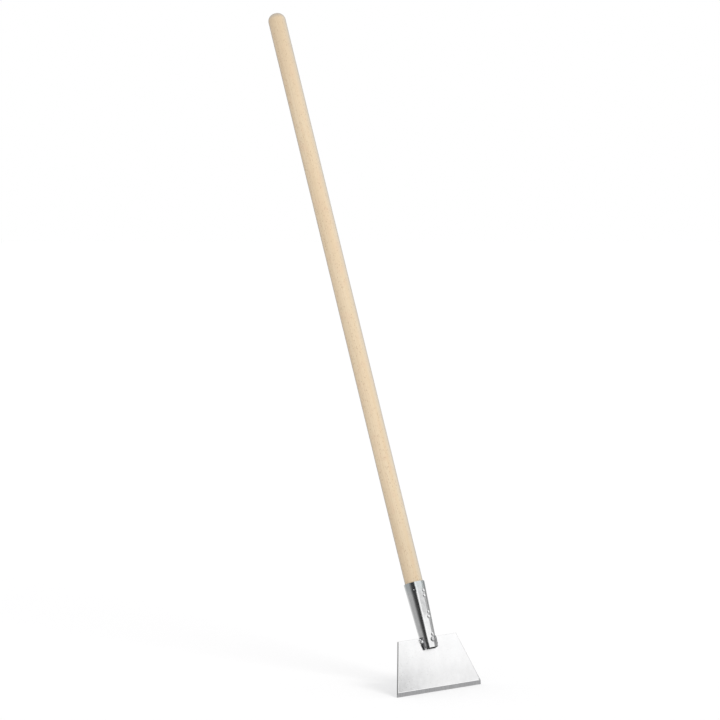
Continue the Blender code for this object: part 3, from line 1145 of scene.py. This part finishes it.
def make_nail(metal):
    """A round nail: pointed shank, and a domed head that the hammer has left small and flat."""
    steps_round = 32
    dome_steps = 9
    point_length = 3 * MM
    point_blunt = 0.15
    point_gap = 0.2 * MM
    rim_height = 0.15 * MM
    dent_depth = 0.05 * MM
    head_share = 0.5
    crown_share = 0.6
    underside = 0.93
    matrix = nail_frame()
    shank, head, seat, top, tip = nail_sizes(matrix)
    head *= head_share
    crown = (top - seat) * crown_share
    profile = [(shank * point_blunt, tip + point_gap), (shank, tip + point_length)]
    profile += [(shank, seat), (head * underside, seat)]
    for i in range(dome_steps):
        turn = math.pi / 2 * i / dome_steps
        profile.append((head * math.cos(turn), seat + rim_height + crown * math.sin(turn)))

    def wander(angle, z):
        if z < seat:
            return 0
        place = Vector((math.cos(angle) * 2, math.sin(angle) * 2, z * 500))
        return dent_depth * noise.noise(place)

    points, faces = turned(profile, steps_round, wander)
    points = [matrix @ Vector(p) for p in points]
    add_piece("nail", points, faces, "fixing_nail", [metal])


def make_hole_cutter():
    """The shank's hole, a little wider and deeper than the nail."""
    matrix = nail_frame()
    shank, _, seat, _, tip = nail_sizes(matrix)
    reach = shank + CLEARANCE / 2
    profile = [(reach / 2, tip - MM), (reach, tip + 2 * MM), (reach, seat + 3 * MM)]
    points, faces = turned(profile, 24, lambda angle, z: 0)
    tool = add_mesh("hole_cutter", [matrix @ Vector(p) for p in points], faces)
    tool.hide_render = True
    return tool


# Stage


def make_camera():
    """Looks up the handle's front from its left, rolled so that the tool leans over."""
    flat = direction(CAMERA_AZIMUTH) * math.cos(CAMERA_ELEVATION)
    toward = flat + Vector((0, 0, math.sin(CAMERA_ELEVATION)))
    aim = Vector((CAMERA_AIM_ASIDE, 0, cad_box[1].z * CAMERA_AIM_SHARE))
    ahead = -toward
    right = ahead.cross(Vector((0, 0, 1))).normalized()
    up = right.cross(ahead)
    turned_right = right * math.cos(CAMERA_ROLL) + up * math.sin(CAMERA_ROLL)
    turned_up = up * math.cos(CAMERA_ROLL) - right * math.sin(CAMERA_ROLL)
    turn = Matrix((turned_right, turned_up, toward)).transposed().to_4x4()
    data = bpy.data.cameras.new("camera")
    data.lens = CAMERA_LENS
    data.clip_end = 200
    camera = add_object("camera", data)
    camera.matrix_world = Matrix.Translation(aim + toward * CAMERA_DISTANCE) @ turn
    bpy.context.scene.camera = camera
    return camera


def world_up(camera):
    """The studio's up: square to the cutting edge and to the camera's right-hand side."""
    right = camera.matrix_world.to_3x3().col[0]
    return right.cross(Vector((1, 0, 0))).normalized()


def make_floor(camera):
    """A wide round floor that the cutting edge stands on, leaning as the tool leans on it."""
    up = world_up(camera)
    gap = 0.05 * MM
    bm = bmesh.new()
    bmesh.ops.create_circle(bm, cap_ends=True, segments=64, radius=FLOOR_RADIUS)
    mesh = bpy.data.meshes.new("floor")
    bm.to_mesh(mesh)
    bm.free()
    mesh.materials.append(floor_white())
    floor = add_object("floor", mesh)
    turn = up.to_track_quat("Z", "Y").to_matrix().to_4x4()
    low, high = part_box("blade")
    edge = Vector((0, high.y, low.z))
    floor.matrix_world = Matrix.Translation(edge - up * gap) @ turn
    floor.visible_glossy = False


def make_world():
    """White to the camera, an even room to matt surfaces, banded walls in the metal's mirror."""
    world = bpy.data.worlds.new("studio")
    world.use_nodes = True
    bpy.context.scene.world = world
    n = Nodes(world.node_tree)
    ray = n.add("ShaderNodeTexCoord", {}).outputs["Generated"]
    white = (1, 1, 1, 1)
    backdrop = n.add("ShaderNodeBackground", {"Color": white}).outputs[0]

    fill = n.math("MULTIPLY", n.dot(ray, direction(FILL_AZIMUTH)), ROOM_FILL)
    level = n.math("ADD", fill, ROOM_LEVEL)
    room = n.add("ShaderNodeBackground", {"Color": white, "Strength": level}).outputs[0]

    toward = direction(CAMERA_AZIMUTH)
    right = direction(CAMERA_AZIMUTH + math.pi / 2)
    turn = n.math("ARCTAN2", n.dot(ray, right), n.dot(ray, toward))
    share = n.span(turn, -math.pi, math.pi)
    brightest = max(level for _, level in STUDIO_BANDS)
    stops = [(degrees / 360 + 0.5, level / brightest) for degrees, level in STUDIO_BANDS]
    walls = n.ramp(share, stops)
    height = n.parts(ray)[2]
    ceiling = (CEILING_LEVEL / brightest,) * 3 + (1,)
    ground = (GROUND_LEVEL / brightest,) * 3 + (1,)
    upper = n.mix(n.span(height, *CEILING_BLEND, smooth=True), walls, ceiling)
    mirrored = n.mix(n.span(height, *GROUND_BLEND, smooth=True), upper, ground)
    bands = n.add("ShaderNodeBackground", {"Color": mirrored, "Strength": brightest}).outputs[0]

    path = n.add("ShaderNodeLightPath", {}).outputs
    indirect = n.add("ShaderNodeMixShader", {0: path["Is Glossy Ray"], 1: room, 2: bands})
    seen = {0: path["Is Camera Ray"], 1: indirect.outputs[0], 2: backdrop}
    n.add("ShaderNodeOutputWorld", {"Surface": n.add("ShaderNodeMixShader", seen).outputs[0]})


def make_light(camera):
    """One broad key light, high in front of the blade, seen only by matt surfaces."""
    up = world_up(camera)
    back = up.cross(Vector((1, 0, 0)))
    data = bpy.data.lights.new("key", "SUN")
    data.energy = KEY_STRENGTH
    data.angle = KEY_SPREAD
    data.color = KEY_COLOUR
    lamp = add_object("key", data)
    source = up * math.sin(KEY_ELEVATION) - back * math.cos(KEY_ELEVATION)
    lamp.rotation_mode = "QUATERNION"
    lamp.rotation_quaternion = source.to_track_quat("Z", "Y")
    lamp.visible_glossy = False


def make_tool():
    """Every piece of the scraper."""
    weld = weld_metal()
    hole = make_hole_cutter()
    make_handle(beech(), hole)
    make_socket(plated_steel(), bare_inside(), hole)
    bpy.data.objects.remove(hole)
    make_blade(plate_steel(), ground_steel())
    make_nail(nail_steel())
    for place, lobes in TACK_LOBES.items():
        make_seam_tack("tack_bead_" + place, "seam_tack_" + place, lobes, weld)
    corners = ("front_left", "front_right", "rear_left", "rear_right")
    for seed, corner in enumerate(corners):
        lumpy = corner in ("front_left", "rear_right")
        make_fillet("fillet_bead_" + corner, "fillet_weld_" + corner, weld, seed, lumpy)


def make_stage():
    """Camera, floor, studio and key light."""
    camera = make_camera()
    make_floor(camera)
    make_world()
    make_light(camera)
    bpy.context.scene.view_settings.view_transform = "Standard"


make_tool()
make_stage()
